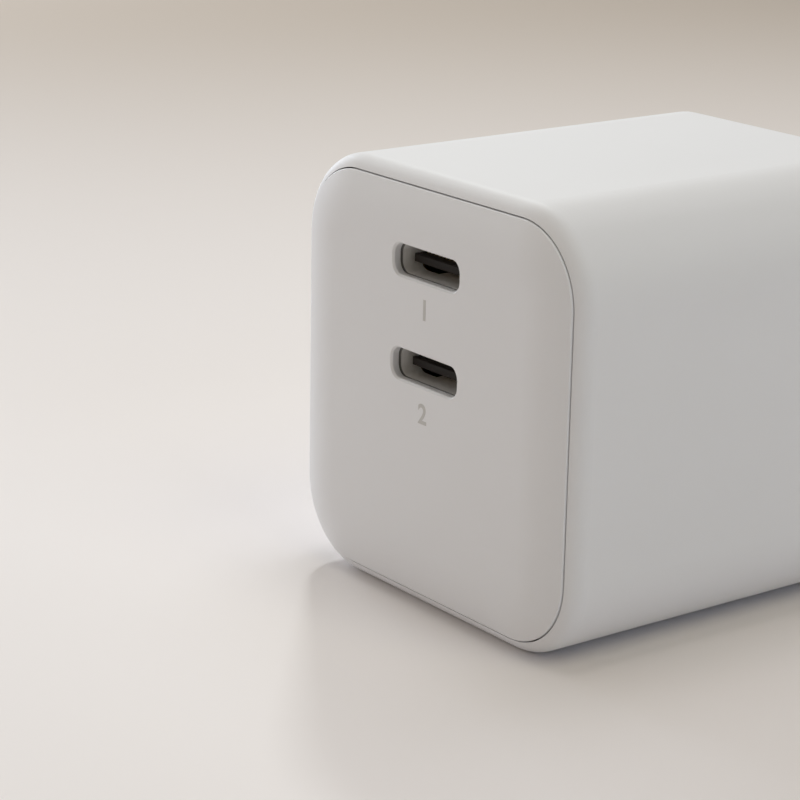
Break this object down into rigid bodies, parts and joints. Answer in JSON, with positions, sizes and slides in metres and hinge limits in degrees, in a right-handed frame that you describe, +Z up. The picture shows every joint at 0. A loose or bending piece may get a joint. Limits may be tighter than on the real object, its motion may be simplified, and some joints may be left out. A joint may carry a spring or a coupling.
{
  "type": "usb-c power adapter",
  "caption": "Cube-shaped mains power adapter with rounded edges, a pillowed front cover, stacked USB-C ports and a fixed round-pin plug on its back.",
  "frame": {"origin": "middle of the flat underside of the housing", "axes": "+Z up, -Y the way the ports face, +Y the way the plug's pins point"},
  "size_m": [0.037, 0.0769, 0.0371],
  "materials": {
    "housing_plastic": "fine matte moulding",
    "cover_plastic": "fine matte moulding",
    "port_steel": "drawn sheet",
    "port_black": "moulded",
    "contact_gold": "plated",
    "pin_nickel": "nickel plated",
    "sleeve_plastic": "moulded",
    "spring_brass": "rolled strip",
    "board_laminate": "solder mask",
    "ferrite": "pressed and ground",
    "bobbin_plastic": "moulded",
    "winding_tape": "wrapped tape",
    "copper_wire": "enamelled wire",
    "can_sleeve": "shrunk sleeve",
    "can_aluminium": "drawn can",
    "film_box": "moulded box",
    "disc_epoxy": "dipped",
    "fuse_plastic": "moulded",
    "chip_epoxy": "moulded",
    "spreader_sheet": "rolled sheet",
    "insulation_film": "film"
  },
  "bodies": {
    "root": {"housing": "housing_plastic", "front_cover": "cover_plastic", "usb_c_shell_upper": "port_steel", "usb_c_shell_lower": "port_steel", "usb_c_tongue_upper": "port_black", "usb_c_tongue_lower": "port_black", "usb_c_contacts_upper": "contact_gold", "usb_c_contacts_lower": "contact_gold", "plug_pin_left": "pin_nickel", "plug_pin_right": "pin_nickel", "pin_sleeve_left": "sleeve_plastic", "pin_sleeve_right": "sleeve_plastic", "pin_spring_left": "spring_brass", "pin_spring_right": "spring_brass", "main_board": "board_laminate", "port_board": "board_laminate", "heat_spreader": "spreader_sheet", "insulation_sheet": "insulation_film", "transformer_core_lower": "ferrite", "transformer_core_upper": "ferrite", "transformer_bobbin": "bobbin_plastic", "transformer_winding": "winding_tape", "bulk_capacitor_front": "can_sleeve", "bulk_capacitor_rear": "can_sleeve", "output_capacitor_front": "can_aluminium", "output_capacitor_rear": "can_aluminium", "choke_core": "ferrite", "choke_winding_left": "copper_wire", "choke_winding_right": "copper_wire", "x_capacitor": "film_box", "y_capacitor": "disc_epoxy", "fuse": "fuse_plastic", "bridge_rectifier": "chip_epoxy", "switch_chip": "chip_epoxy", "rectifier_chip": "chip_epoxy", "optocoupler": "chip_epoxy", "protocol_chip": "chip_epoxy"}
  },
  "joints": []
}
